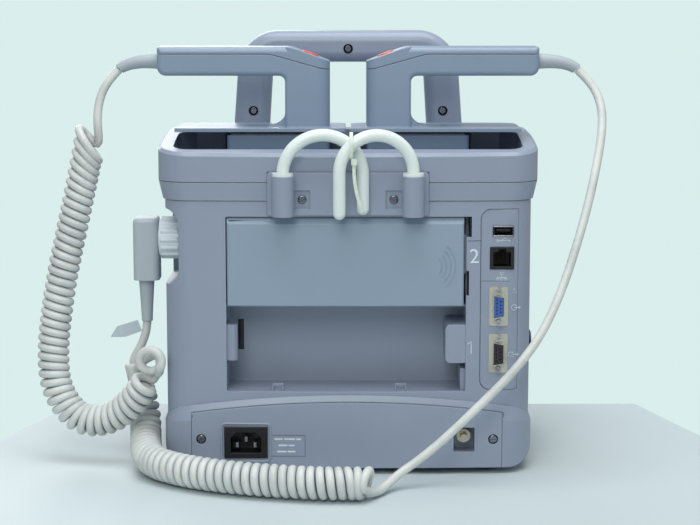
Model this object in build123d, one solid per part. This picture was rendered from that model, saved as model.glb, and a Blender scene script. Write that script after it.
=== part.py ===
from build123d import *
import math
import os

# Monitor defibrillator with two external paddles, coiled paddle cords, a two-battery rear bay and
# swivelling bed-rail hooks. Millimetres, +Z up, rear panel towards +Y, origin on the floor under
# the middle of the object.

# Case
WALL = 3.0
CASE_HALF_W = 143.5
CASE_FRONT = -109.0
CASE_REAR = 98.0
CASE_CORNER = 22.0
CASE_BOTTOM = 44.0
CASE_TOP = 215.0
CASE_SPLIT = -30.0
REAR_BOW = 4.0
SEAM = 0.5

# Rim, collar and base
RIM_HALF_W = 148.5
RIM_REAR = 100.0
RIM_BOTTOM = 230.0
RIM_CORNER = 25.0
RIM_REAR_Z = 250.6
RIM_PEAK_Z = 262.0
RIM_FRONT_Z = 254.0
RIM_PEAK_Y = -29.0
BASE_HALF_W = 145.4
BASE_REAR = 104.0
BASE_FRONT = -113.0
BASE_BOTTOM = 5.0
BASE_SIDE_Z = 50.0
BASE_CROWN_Z = 62.5
BASE_CORNER = 26.0
FOOT_R = 10.0

# Paddle tray
TRAY_REAR = 86.0
TRAY_FRONT = -18.0
TRAY_END_FRONT = 4.0
TRAY_HALF_W = 136.5
TRAY_MID_HALF_W = 100.0
TRAY_FLOOR = 225.0

# Battery bay
BAY_X0 = -92.0
BAY_X1 = 95.0
BAY_Z0 = 65.0
BAY_Z1 = 203.0
BAY_BACK = 53.0
BATTERY_Z0 = 133.2
BATTERY_Z1 = 202.3
BATTERY_X0 = -90.3
BATTERY_X1 = 94.4
BATTERY_BACK = 55.5

# Connector column, mains panel
COLUMN_X0 = -141.0
COLUMN_X1 = -103.0
COLUMN_Z0 = 66.0
COLUMN_Z1 = 209.0
COLUMN_FACE = 95.0
MAINS_FACE = 102.4
MAINS_SEAT = 99.6
D_SUBS = [132.6, 95.3]

# Therapy connector on the +X side
PLUG_Y = 40.0
PLUG_Z = 179.5
RECESS_X = 132.0

# Carry handle
HANDLE_Y0 = -62.0
HANDLE_Y1 = -28.0
HANDLE_TOP = 342.3
HANDLE_OUT = 92.5
HANDLE_IN = 63.5

# Paddles: the +X one is drawn and the other is its mirror image
GRIP_END = 151.5
GRIP_TOP = 331.8
GRIP_BOTTOM = 309.0
SEAM_DROP = 5.6
COLUMN_IN = 14.5
COLUMN_OUT = 50.0
PLATE_Z = 266.0
PADDLE_Y = 30.0
SLOPE_DEG = 20.0
RELIEF_END = (182.5, 31.0, 314.0)

# Bed-rail hooks
HOOK_X = 50.0
HOOK_Y = 112.0
ROD_R = 4.8
LEFT_REACH = 61.6
RIGHT_REACH = 57.4
LEFT_LEAN = 4.0
RIGHT_LEAN = 9.5
BRACKET_Z0 = 204.5
BRACKET_Z1 = 238.2
BRACKET_HALF_W = 62.5
BRACKET_FACE = 102.0

# Front controls
KNOB_FRONT = -126.27
KNOB_X = 96.0
KNOB_Z = 166.0
KEY_Z = 100.0

# Screws, as places across and up
HANDLE_SCREWS = [(78.7, 276.3), (-78.7, 276.3), (0.0, 327.6)]
BRACKET_SCREWS = [(35.4, 217.0), (-35.4, 217.0)]
MAINS_SCREWS = [(115.2, 27.8), (-113.9, 27.8)]

# Cords
CORD_D = 6.8
COIL_D = 26.6

LEFT_LEAD = [
    (182.9, 31.0, 313.6), (190.5, 31.5, 306.0), (196.8, 33.0, 295.5), (200.0, 35.0, 283.0),
    (200.4, 37.0, 270.0), (201.5, 39.5, 257.5),
]
LEFT_COIL = [
    (206.0, 42.0, 257.0), (213.0, 43.0, 224.0), (220.0, 44.5, 192.0), (228.0, 46.0, 158.0),
    (234.0, 48.0, 124.0), (238.0, 51.0, 90.0), (235.5, 57.0, 58.0), (217.0, 64.0, 33.5),
    (194.0, 70.0, 34.0), (177.0, 75.0, 46.0), (165.5, 79.5, 60.0), (159.0, 80.5, 77.0),
    (160.5, 66.0, 88.5), (167.5, 50.8, 82.0),
]
RIGHT_COIL = [
    (170.0, 41.0, 56.4), (165.5, 42.5, 42.0), (163.2, 56.0, 22.5), (160.8, 84.0, 14.5),
    (152.5, 117.0, 13.5), (129.0, 142.0, 13.5), (101.0, 159.0, 13.5), (71.0, 170.5, 13.5),
    (39.0, 178.5, 13.5), (9.0, 183.5, 13.5), (-18.0, 181.5, 13.5),
]
RIGHT_LEAD = [
    (-20.6, 175.8, 4.2), (-28.6, 161.0, 5.6), (-38.5, 148.5, 12.0), (-55.1, 141.5, 21.5),
    (-76.7, 136.0, 38.6), (-101.3, 132.0, 62.0), (-122.9, 127.0, 82.1), (-141.6, 121.0, 103.3),
    (-154.6, 114.0, 124.0), (-166.0, 105.0, 148.0), (-176.0, 95.0, 174.6), (-185.2, 84.0, 202.0),
    (-193.3, 72.0, 231.0), (-199.6, 58.0, 257.7), (-202.4, 46.0, 278.1), (-199.8, 37.0, 292.5),
    (-192.8, 32.5, 304.5), (-182.9, 31.0, 313.6),
]
TRUNK = [
    (162.5, 40.0, 110.5), (163.0, 40.1, 105.5), (164.4, 40.4, 99.5), (167.0, 41.0, 92.6),
    (170.6, 41.8, 86.0), (173.6, 42.5, 80.6),
]


def box(x0, x1, y0, y1, z0, z1):
    """A box between two corners."""
    return Pos((x0 + x1) / 2, (y0 + y1) / 2, (z0 + z1) / 2) * Box(x1 - x0, y1 - y0, z1 - z0)


def rod(radius, start, direction, length):
    """A round bar from start along direction."""
    return extrude(Plane(origin=start, z_dir=direction) * Circle(radius), amount=length)


def tube(outer, inner, start, direction, length):
    """A round tube from start along direction."""
    return rod(outer, start, direction, length) - rod(inner, start, direction, length)


def outline(half_w, front, rear, corner):
    """Plan shape of the case: a rounded rectangle whose rear edge bows outwards."""
    radius = (half_w**2 + REAR_BOW**2) / (2 * REAR_BOW)
    sides = Pos(0, (front + rear) / 2) * Rectangle(2 * half_w, rear - front)
    face = sides & (Pos(0, rear - radius) * Circle(radius))
    return fillet(face.vertices(), corner)


def prism(face, z0, z1):
    """A plan shape raised between two heights."""
    return extrude(Pos(0, 0, z0) * face, amount=z1 - z0)


def plan_box(x0, x1, y0, y1, z0, z1, corner):
    """A box with rounded upright edges."""
    face = Pos((x0 + x1) / 2, (y0 + y1) / 2) * RectangleRounded(x1 - x0, y1 - y0, corner)
    return prism(face, z0, z1)


def panel_box(x0, x1, y0, y1, z0, z1, corner):
    """A box whose edges along Y are rounded."""
    face = Pos((x0 + x1) / 2, (z0 + z1) / 2) * RectangleRounded(x1 - x0, z1 - z0, corner)
    return extrude(Plane.XZ.offset(-y0) * face, amount=-(y1 - y0))


def outer_case(inset, z0, z1):
    """The case's plan shape, shrunk by inset, between two heights."""
    corner = CASE_CORNER - inset
    return prism(outline(CASE_HALF_W - inset, CASE_FRONT + inset, CASE_REAR - inset, corner), z0, z1)


def bracket_pocket():
    """Room for the hook bracket's back plate in the case, collar and rim."""
    return box(-BRACKET_HALF_W, BRACKET_HALF_W, 96.8, 120.0, BRACKET_Z0, BRACKET_Z1)


def side_recess(grow):
    """The scoop round the therapy connector, open to the side and to the rear."""
    low = 148.0 - grow
    high = 208.0 + grow
    return panel_box(RECESS_X - grow, 175.0, 10.0 - grow, 110.0, low, high, 12.0)


def socket_windows():
    """Windows for the column's four sockets and their jackscrews."""
    windows = box(-128.6, -112.4, 70, 110, 187.4, 195.8) + box(-129.2, -110.4, 70, 110, 161.6, 179.2)
    for z in D_SUBS:
        windows += box(-122.6, -112.0, 70, 110, z - 10.4, z + 10.4)
        for end in (-12.5, 12.5):
            windows += rod(1.6, (-117.4, 85.0, z + end), (0, 1, 0), 20.0)
    return windows


def rear_case():
    """Rear shell with the battery bay, connector recess and therapy scoop."""
    everywhere = outer_case(0.0, CASE_BOTTOM, CASE_TOP)
    skin = everywhere - outer_case(WALL, CASE_BOTTOM, CASE_TOP)
    bay = box(BAY_X0 - 2.5, BAY_X1 + 9.0, BAY_BACK - 2.5, 99.0, BAY_Z0 - 2.5, BAY_Z1 + 2.5)
    scoop = side_recess(2.5) & everywhere
    column = box(COLUMN_X0 - 4, COLUMN_X1 + 2, COLUMN_FACE - 5.0, 99.0, COLUMN_Z0 - 2, COLUMN_Z1 + 2)
    shell = skin + (bay & everywhere) + scoop + (column & everywhere)
    shell -= panel_box(BAY_X0, BAY_X1, BAY_BACK, 110.0, BAY_Z0, BAY_Z1, 1.0)
    shell -= side_recess(0.0)
    shell -= panel_box(COLUMN_X0, COLUMN_X1, COLUMN_FACE - 3.0, 110.0, COLUMN_Z0, COLUMN_Z1, 8.0)
    shell += box(BAY_X0, BAY_X1, BAY_BACK, 84.0, 130.2, 132.2)
    for z in (87.5, 156.0):
        shell -= box(BAY_X1 - 1.0, BAY_X1 + 7.0, 78.0, 92.5, z, z + 31.0)
    shell -= box(BAY_X0 - 4.0, BAY_X0 + 1.0, 80.0, 110.0, 187.0, BAY_Z1)
    shell -= box(BAY_X0 - 2.2, BAY_X0 + 1.0, 86.0, 110.0, 141.0, 160.5)
    shell -= rod(17.6, (RECESS_X - 10.0, PLUG_Y, PLUG_Z), (1, 0, 0), 12.0)
    shell -= bracket_pocket() + socket_windows()
    return shell & box(-200, 200, CASE_SPLIT, 200, 0, 300)


def front_case():
    """Front shell with the display window and the recorder's paper bay."""
    everywhere = outer_case(0.0, CASE_BOTTOM, CASE_TOP)
    shell = everywhere - outer_case(WALL, CASE_BOTTOM, CASE_TOP)
    shell -= panel_box(-98.0, 43.0, -120.0, -100.0, 90.0, 196.0, 4.0)
    shell += box(-141.0, -98.0, -96.0, -36.0, 124.0, 196.0) & everywhere
    shell -= box(-150.0, -100.0, -94.0, -38.0, 126.0, 194.0)
    shell -= rod(5.0, (KNOB_X, -120.0, KNOB_Z), (0, 1, 0), 30.0)
    shell -= rod(7.4, (KNOB_X, -120.0, KEY_Z), (0, 1, 0), 30.0)
    return shell & box(-200, 200, -200, CASE_SPLIT, 0, 300)


def collar_band():
    """Band between the case and the rim, a little wider at its top."""
    low = outline(CASE_HALF_W + 1.5, CASE_FRONT - 0.5, CASE_REAR + 0.5, CASE_CORNER + 1.0)
    high = outline(RIM_HALF_W, CASE_FRONT - 1.0, RIM_REAR, RIM_CORNER)
    band = loft([Pos(0, 0, CASE_TOP) * low, Pos(0, 0, RIM_BOTTOM) * high])
    band -= outer_case(WALL, CASE_TOP - 1.0, RIM_BOTTOM + 1.0) + bracket_pocket()
    around = prism(Rectangle(400, 400), 0.0, SEAM)
    low_core = prism(outline(CASE_HALF_W + 0.3, CASE_FRONT + 0.7, CASE_REAR - 0.7, CASE_CORNER), -1, 2)
    high_core = prism(outline(RIM_HALF_W - 1.2, CASE_FRONT + 0.2, RIM_REAR - 1.2, RIM_CORNER), -1, 2)
    band -= Pos(0, 0, CASE_TOP) * (around - low_core)
    return band - Pos(0, 0, RIM_BOTTOM - SEAM) * (around - high_core)


def crown(drop):
    """Everything under the rim's arched top surface, lowered by drop."""
    top = ThreePointArc(
        (-125.0, RIM_FRONT_Z - drop - 2.5),
        (RIM_PEAK_Y, RIM_PEAK_Z - drop),
        (125.0, RIM_REAR_Z - drop - 3.8),
    )
    sides = Polyline((125.0, RIM_REAR_Z - drop - 3.8), (125.0, 200.0), (-125.0, 200.0), top @ 0)
    return extrude(Plane.YZ * make_face([top, sides]), amount=200, both=True)


def tray_shape(grow):
    """Plan of the paddle tray: deep in the middle, shallower at its two ends."""
    ends = Pos(0, (TRAY_REAR + TRAY_END_FRONT) / 2) * Rectangle(
        2 * (TRAY_HALF_W + grow), TRAY_REAR - TRAY_END_FRONT + 2 * grow
    )
    ends = chamfer(ends.vertices().sort_by(Axis.Y)[:2], 13.0 + 0.6 * grow)
    ends = fillet(ends.vertices().sort_by(Axis.Y)[-2:], 12.0 + grow)
    middle = Pos(0, (TRAY_REAR + TRAY_FRONT) / 2) * RectangleRounded(
        2 * (TRAY_MID_HALF_W + grow), TRAY_REAR - TRAY_FRONT + 2 * grow, 6.0 + grow
    )
    return ends + middle


def top_cover():
    """Rim and paddle tray in one moulding."""
    rim = outline(RIM_HALF_W, CASE_FRONT - 1.0, RIM_REAR, RIM_CORNER)
    core = outline(RIM_HALF_W - WALL, CASE_FRONT + 2.0, RIM_REAR - WALL, RIM_CORNER - WALL)
    solid = prism(rim, RIM_BOTTOM, 275.0) & crown(0.0)
    edges = solid.edges().filter_by(lambda e: e.center().Z > 245.0)
    solid = chamfer(edges, 2.4)
    hollow = prism(core, RIM_BOTTOM - 1.0, 275.0) & crown(WALL)
    cover = solid - hollow
    cover += prism(tray_shape(2.5), TRAY_FLOOR - 2.5, 275.0) & crown(0.2)
    cover -= prism(tray_shape(0.0), TRAY_FLOOR, 275.0)
    return cover - bracket_pocket()


def under_arch(drop):
    """Everything above the base's underside and below its arched top, lowered by drop."""
    half = BASE_HALF_W + 0.5
    top = ThreePointArc((-half, BASE_SIDE_Z - drop), (0, BASE_CROWN_Z - drop), (half, BASE_SIDE_Z - drop))
    skirt = Polyline(top @ 1, (half, BASE_BOTTOM), (-half, BASE_BOTTOM), top @ 0)
    return extrude(Plane.XZ * make_face([top, skirt]), amount=160, both=True)


def base_housing():
    """Base tray with an arched shoulder, rounded lower corners and a recess for the mains panel."""
    block = under_arch(0.0)
    lower = block.edges().filter_by(Axis.Y).sort_by(Axis.Z)[:2]
    block = fillet(lower, 19.0)
    plan = outline(BASE_HALF_W, BASE_FRONT, BASE_REAR, BASE_CORNER)
    block = block & prism(plan, 0.0, 90.0)
    crest = block.faces().sort_by(Axis.Z)[-1]
    block = chamfer(crest.edges(), 4.6, 11.0, reference=crest)
    shoulder = block.edges().filter_by(lambda e: e.center().Y > 90 and 40 < e.center().Z < 60)
    block = fillet(shoulder.sort_by(Axis.Y)[-1], 4.0)
    inner = outer_case(0.0, BASE_BOTTOM + WALL, 90.0)
    base = block - inner
    base += outer_case(0.0, BASE_BOTTOM, BASE_BOTTOM + WALL) & block
    base -= box(-121.0, 123.0, 98.0, 120.0, 0.0, 80.0) & under_arch(5.0)
    base -= box(60.0, 100.0, 80.0, 120.0, 11.0, 40.0)
    return base - box(-101.0, -81.0, 84.0, 120.0, 16.0, 39.0)


def mains_panel():
    """Plate in the base's rear face round the mains inlet and the ground stud's pocket."""
    plan = outline(BASE_HALF_W, BASE_FRONT, BASE_REAR, BASE_CORNER)
    panel = box(-120.7, 122.7, 98.0, 120.0, BASE_BOTTOM, 80.0) & under_arch(5.3)
    panel = panel & prism(plan, 0.0, 90.0)
    panel -= box(63.0, 97.0, 90.0, 110.0, 13.0, 38.0)
    pocket = box(-100.8, -81.2, 85.0, MAINS_FACE, 16.2, 38.8)
    panel = panel + pocket - box(-99.2, -82.8, 87.0, 110.0, 17.8, 37.2)
    for x in (115.2, -113.9):
        panel -= rod(3.9, (x, MAINS_SEAT, 27.8), (0, 1, 0), 5.0)
    return panel


def feet():
    """Four rubber feet."""
    places = [(x, y) for x in (-108.0, 108.0) for y in (-86.0, 76.0)]
    return [rod(FOOT_R, (x, y, 0.0), (0, 0, 1), BASE_BOTTOM) for x, y in places]


def handle_blank():
    """The whole arched carry handle before it is split into two halves."""
    outer = Polyline(
        (-HANDLE_OUT - 3.5, 252.0), (-HANDLE_OUT + 3.0, HANDLE_TOP),
        (HANDLE_OUT - 3.0, HANDLE_TOP), (HANDLE_OUT + 3.5, 252.0),
        (HANDLE_IN + 3.0, 252.0), (HANDLE_IN - 1.0, 316.5), (-HANDLE_IN + 1.0, 316.5),
        (-HANDLE_IN - 3.0, 252.0), (-HANDLE_OUT - 3.5, 252.0),
    )
    face = make_face(outer)
    top = face.vertices().filter_by(lambda v: v.Y > HANDLE_TOP - 1.0)
    face = fillet(top, 34.0)
    inner = face.vertices().filter_by(lambda v: abs(v.Y - 316.5) < 0.1)
    face = fillet(inner, 11.0)
    blank = extrude(Plane.XZ.offset(-HANDLE_Y0) * face, amount=HANDLE_Y0 - HANDLE_Y1)
    long_edges = blank.edges().filter_by(lambda e: e.center().Z > 253.0 and abs(e.center().Y + 45) > 16)
    blank = fillet(long_edges, 9.0)
    return blank - (prism(Rectangle(400, 400), 200.0, 300.0) & crown(0.0))


def handle_rear_half():
    """Rear half of the carry handle, with its screw counterbores."""
    half = handle_blank() & box(-120, 120, -45.0, 0.0, 200, 400)
    for x, z in HANDLE_SCREWS:
        half -= rod(4.0, (x, HANDLE_Y1 - 4.0, z), (0, 1, 0), 10.0)
    return half


def handle_front_half():
    """Front half of the carry handle."""
    return handle_blank() & box(-120, 120, -80.0, -45.0, 200, 400)


def screw(x, y, z):
    """A pan-head cross-recess screw whose head faces +Y, with y at the head's seat."""
    head = rod(3.4, (x, y, z), (0, 1, 0), 2.0)
    head = fillet(head.edges().sort_by(Axis.Y)[-1], 1.2)
    head -= box(x - 2.0, x + 2.0, y + 0.9, y + 3.0, z - 0.4, z + 0.4)
    head -= box(x - 0.4, x + 0.4, y + 0.9, y + 3.0, z - 2.0, z + 2.0)
    return head


def case_screws():
    """Seven identical screws: handle, hook bracket and mains panel."""
    screws = [screw(x, HANDLE_Y1 - 4.0, z) for x, z in HANDLE_SCREWS]
    screws += [screw(x, BRACKET_FACE - 1.6, z) for x, z in BRACKET_SCREWS]
    screws += [screw(x, MAINS_SEAT, z) for x, z in MAINS_SCREWS]
    return screws


def hook_bracket():
    """Back plate with two upright holders for the bed-rail hooks."""
    plate = panel_box(-62.3, 62.3, 97.0, BRACKET_FACE, BRACKET_Z0 + 0.2, BRACKET_Z1 - 0.2, 2.0)
    for side in (-1, 1):
        x = side * HOOK_X
        plate += box(x - 8.0, x + 8.0, 98.0, HOOK_Y, 205.0, 236.0)
        plate += rod(8.5, (x, HOOK_Y, 205.0), (0, 0, 1), 31.0)
    for side in (-1, 1):
        x = side * HOOK_X
        plate -= rod(6.5, (x, HOOK_Y, 207.0), (0, 0, 1), 40.0)
        plate -= box(side * 35.4 - 6.2, side * 35.4 + 6.2, BRACKET_FACE - 1.6, 110.0, 209.5, 224.0)
    return plate


def hook_bushes():
    """Two flanged plastic bushes in the holders."""
    bushes = []
    for side in (-1, 1):
        base = (side * HOOK_X, HOOK_Y)
        sleeve = tube(6.5, 5.2, (*base, 207.0), (0, 0, 1), 29.0)
        bushes.append(sleeve + tube(8.0, 5.2, (*base, 236.0), (0, 0, 1), 2.6))
    return bushes


def hook(reach, bend_z, tip_z):
    """A bent rod at X = 0 whose free leg is at X = reach, with a round tip."""
    path = Wire(
        [
            Edge.make_line((0, 0, 207.5), (0, 0, bend_z)),
            Edge.make_three_point_arc(
                (0, 0, bend_z), (reach / 2, 0, bend_z + reach / 2), (reach, 0, bend_z)
            ),
            Edge.make_line((reach, 0, bend_z), (reach, 0, tip_z + ROD_R)),
        ]
    )
    bar = sweep(Plane(origin=(0, 0, 207.5), z_dir=(0, 0, 1)) * Circle(ROD_R), path=path)
    return bar + Pos(reach, 0, tip_z + ROD_R) * Sphere(ROD_R)


def hook_left():
    """Hook on the +X side, which passes behind the other."""
    return Pos(HOOK_X, HOOK_Y, 0) * Rot(0, 0, 180.0 + LEFT_LEAN) * hook(LEFT_REACH, 236.6, 205.7)


def hook_right():
    """Hook on the -X side, which passes in front."""
    return Pos(-HOOK_X, HOOK_Y, 0) * Rot(0, 0, RIGHT_LEAN) * hook(RIGHT_REACH, 239.0, 203.6)


def cable_tie():
    """Shipping tie round the -X hook's rod: strap, head and a loose tail."""
    ring = Ellipse(10.4, 6.4) - Ellipse(9.5, 5.6)
    centre = (-3.8, 119.95, 260.1)
    strap = extrude(Plane(origin=centre, x_dir=(0, 0, 1), z_dir=(1, 0, 0)) * ring, amount=2.6)
    head = box(-6.8, -2.5, 119.6, 124.2, 245.6, 250.4)
    curve = Spline(
        (-4.6, 122.4, 247.9), (-4.8, 122.8, 237.0), (-7.2, 122.4, 222.0), (-11.4, 121.0, 210.0)
    )
    start = Plane(origin=curve @ 0, z_dir=curve % 0, x_dir=(1, 0, 0))
    return strap + head + sweep(start * Rectangle(2.6, 1.0), path=curve)


def battery_case():
    """Upper battery: a hollow pack with a bowed outer face and a pocket for its contact block."""
    block = box(BATTERY_X0, BATTERY_X1, BATTERY_BACK, 99.0, BATTERY_Z0, BATTERY_Z1)
    pack = block & outer_case(0.0, 100.0, 210.0)
    outer = pack.faces().sort_by(Axis.Y)[-1]
    upper = outer.edges().sort_by(Axis.Z)[-1]
    pack = chamfer(upper, 5.0, 3.0, reference=outer)
    ends = pack.edges().filter_by(Axis.Z).filter_by(lambda e: e.center().Y > 90)
    pack = fillet(ends, 2.0)
    pack -= box(BATTERY_X0 + 18.0, BATTERY_X1 - 2.2, BATTERY_BACK + 2.2, 95.0, 135.4, 200.1)
    pack -= box(-100.0, -75.4, 50.0, 91.0, 157.0, 189.6)
    return pack


def battery_cells():
    """Twelve cylindrical cells in two layers inside the upper battery."""
    cells = []
    for row in range(2):
        for column in range(6):
            z = 151.5 + 32.5 * row
            start = (-60.0 + 24.5 * column, 76.0, z - 15.0)
            cells.append(rod(11.4, start, (0, 0, 1), 30.0))
    return cells


def battery_latch(z, reach, depth):
    """Spring latch in the bay's +X wall, standing reach into the bay and depth into the wall."""
    body = box(BAY_X1 - reach, BAY_X1 + depth, 79.0, 92.0, z + 1.2, z + 29.8)
    return chamfer(body.edges().filter_by(Axis.Z).sort_by(Axis.X)[:2].sort_by(Axis.Y)[-1], 2.4)


def latch_lower():
    """Latch of the empty lower bay, standing out."""
    return battery_latch(87.5, 8.2, 1.0)


def latch_upper():
    """Latch of the upper bay, pressed in by the battery's side."""
    return battery_latch(156.0, 0.2, 5.6)


def bay_contacts():
    """Two contact blocks with blade slots, on the bay's -X wall."""
    blocks = []
    for z, front in ((87.6, 98.0), (157.6, 90.0)):
        block = box(BAY_X0, -76.2, BAY_BACK, front, z, z + 30.4)
        block = fillet(block.edges().filter_by(Axis.Y).sort_by(Axis.X)[-2:], 4.0)
        for slot in range(4):
            low = z + 4.0 + 6.6 * slot
            block -= box(-80.0, -75.0, 62.0, 84.0, low, low + 2.0)
        blocks.append(block & outer_case(0.2, 60.0, 210.0))
    return blocks


def connector_panel():
    """Column plate with cut-outs for four sockets."""
    gap = 0.4
    plate = panel_box(
        COLUMN_X0 + gap, COLUMN_X1 - gap, COLUMN_FACE - 3.0, COLUMN_FACE,
        COLUMN_Z0 + gap, COLUMN_Z1 - gap, 8.0 - gap,
    )
    plate -= box(-150.0, -100.0, COLUMN_FACE - 0.6, 100.0, 152.0, 152.5)
    return (plate & outer_case(0.0, 50.0, 214.0)) - socket_windows()


def data_ports():
    """USB socket and network socket, each a moulded box round its opening."""
    usb = box(-128.5, -112.5, 80.0, 95.6, 187.5, 195.7) - box(-127.3, -113.7, 84.0, 97, 188.6, 194.6)
    usb += box(-126.0, -115.0, 84.0, 94.4, 191.4, 193.4)
    network = box(-129.1, -110.5, 78.0, 95.6, 161.7, 179.1)
    network -= box(-126.6, -113.0, 80.0, 97, 163.8, 175.2)
    network -= box(-122.8, -116.8, 80.0, 97, 175.0, 177.6)
    return [usb, network]


def dsub_face(width, height, depth, y):
    """The D-shaped shroud of a D-sub connector, upright, its wide side towards +X."""
    top = height / 2
    face = make_face(
        Polyline(
            (width / 2, -top), (width / 2, top), (-width / 2, top - 1.5), (-width / 2, 1.5 - top),
            (width / 2, -top),
        )
    )
    return extrude(Plane.XZ.offset(-y) * face, amount=-depth)


def dsub_shells():
    """Plated shells of the two D-sub sockets, each with its flange."""
    shells = []
    for z in D_SUBS:
        flange = panel_box(-124.8, -110.2, COLUMN_FACE, COLUMN_FACE + 0.8, z - 15.4, z + 15.4, 1.5)
        shroud = Pos(-117.4, 0, z) * dsub_face(8.6, 18.4, 5.6, COLUMN_FACE)
        body = flange + shroud + (Pos(-117.4, 0, z) * dsub_face(8.6, 18.4, 6.0, COLUMN_FACE - 6.0))
        body -= Pos(-117.4, 0, z) * dsub_face(7.8, 17.6, 14.0, COLUMN_FACE - 7.0)
        for end in (-12.5, 12.5):
            body -= rod(1.7, (-117.4, 90.0, z + end), (0, 1, 0), 12.0)
        shells.append(body)
    return shells


def dsub_inserts():
    """Moulded contact inserts of the two D-sub sockets."""
    inserts = []
    for z in D_SUBS:
        insert = Pos(-117.4, 0, z) * dsub_face(7.7, 17.5, 11.0, COLUMN_FACE - 6.0)
        for column, count in ((-1.5, 4), (1.5, 5)):
            for pin in range(count):
                place = (-117.4 + column, 96.0, z + 2.76 * (pin - (count - 1) / 2))
                insert -= rod(0.6, place, (0, 1, 0), 8.0)
        inserts.append(insert)
    return inserts


def jackscrews():
    """Four hexagon jackscrews of the D-sub sockets."""
    posts = []
    for z in D_SUBS:
        for end in (-12.5, 12.5):
            start = (-117.4, COLUMN_FACE + 0.8, z + end)
            hexagon = Plane(origin=start, z_dir=(0, 1, 0)) * RegularPolygon(2.6, 6)
            post = extrude(hexagon, amount=4.4) + rod(1.6, (start[0], 91.0, start[2]), (0, 1, 0), 5.0)
            posts.append(post - rod(1.1, (start[0], 97.0, start[2]), (0, 1, 0), 6.0))
    return posts


def mains_inlet():
    """Mains inlet body with a flange and a chamfered socket."""
    body = box(63.0, 97.0, MAINS_FACE - 1.0, MAINS_FACE + 1.6, 13.0, 38.0)
    body += box(65.5, 94.5, 82.0, MAINS_FACE, 15.0, 36.0)
    cavity = box(68.0, 92.0, 86.0, 110.0, 17.3, 33.7)
    return body - chamfer(cavity.edges().filter_by(Axis.Y).sort_by(Axis.Z)[-2:], 4.5)


def mains_inlet_pins():
    """Three blades of the mains inlet."""
    blades = [(73.0, 23.0), (87.0, 23.0), (80.0, 27.5)]
    return [box(x - 1.0, x + 1.0, 86.0, 100.5, z - 2.0, z + 2.0) for x, z in blades]


def ground_stud():
    """Equipotential ground stud with its collar and nut."""
    stud = rod(3.0, (-91.0, 87.0, 29.0), (0, 1, 0), 15.4) + rod(4.6, (-91.0, 87.0, 29.0), (0, 1, 0), 6.0)
    return stud + tube(5.4, 3.0, (-91.0, 93.0, 29.0), (0, 1, 0), 2.0)


def therapy_socket():
    """Socket for the therapy plug, standing in the side recess."""
    centre = (RECESS_X - 22.0, PLUG_Y, PLUG_Z)
    socket = rod(17.4, centre, (1, 0, 0), 24.0)
    return socket - rod(12.0, (RECESS_X - 12.0, PLUG_Y, PLUG_Z), (1, 0, 0), 30.0)


def therapy_lock_ring():
    """Ribbed ring that turns to lock the therapy plug."""
    ring = tube(16.0, 12.4, (RECESS_X + 2.6, PLUG_Y, PLUG_Z), (1, 0, 0), 16.4)
    for step in range(14):
        angle = math.tau * step / 14
        rib = (RECESS_X + 3.6, PLUG_Y + 14.9 * math.cos(angle), PLUG_Z + 14.9 * math.sin(angle))
        ring += rod(2.3, rib, (1, 0, 0), 14.0)
    return ring


def therapy_plug():
    """Right-angle therapy plug: a nose in the socket and a body that turns down."""
    nose = rod(11.6, (RECESS_X - 10.0, PLUG_Y, PLUG_Z), (1, 0, 0), 30.0)
    body = plan_box(151.4, 172.0, PLUG_Y - 13.0, PLUG_Y + 13.0, 146.0, 196.0, 5.0)
    top = body.edges().filter_by(lambda e: e.center().Z > 195.5)
    body = fillet(top, 3.5)
    return body + nose


def plug_relief():
    """Tapered strain relief under the therapy plug."""
    return loft([Pos(162.5, PLUG_Y, z) * Circle(r) for z, r in ((146.0, 6.4), (128.0, 5.2), (111.5, 4.4))])


def cord_split():
    """Moulded junction where the trunk becomes two coiled cords."""
    body = rod(7.4, (174.2, 42.6, 77.6), (-0.2, -0.08, -1.0), 20.0)
    return fillet(body.edges().sort_by(Axis.Z)[-1], 2.5)


def paddle_section(edge_points, y_half, round_points=()):
    """A paddle shape drawn in the XZ plane and centred on the paddle's mid plane."""
    face = make_face(Polyline(*edge_points, edge_points[0]))
    for place, radius in round_points:
        corner = face.vertices().sort_by_distance((place[0], place[1], 0))[0]
        face = fillet(corner, radius)
    centred = Plane.XZ.offset(-PADDLE_Y) * face
    return extrude(centred, amount=y_half, both=True)


def paddle_split(drop):
    """Everything above the seam of the paddle's handle, with the seam lowered by drop."""
    seam = GRIP_TOP - SEAM_DROP - drop
    low = (21.0, 314.8 - drop)
    high = (62.0, seam)
    points = [(0.0, 312.0 - drop), low, high, (170.0, seam), (170.0, 350.0), (0.0, 350.0)]
    return paddle_section(points, 40.0, [(high, 30.0), (low, 14.0)])


def paddle_plan(inset):
    """Plans of the paddle's column, its inner corners rounded, and of its grip."""
    half = 17.0 - inset
    inner = COLUMN_IN + inset
    length = COLUMN_OUT - inset - inner
    post = Pos(inner + length / 2, 0) * Rectangle(length, 2 * half)
    post = fillet(post.vertices().sort_by(Axis.X)[:2], 11.0 - inset)
    grip = Pos((40.0 + GRIP_END) / 2, 0) * Rectangle(GRIP_END - 40.0 - 2 * inset, 2 * half)
    return Pos(0, PADDLE_Y) * post, Pos(0, PADDLE_Y) * grip


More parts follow.
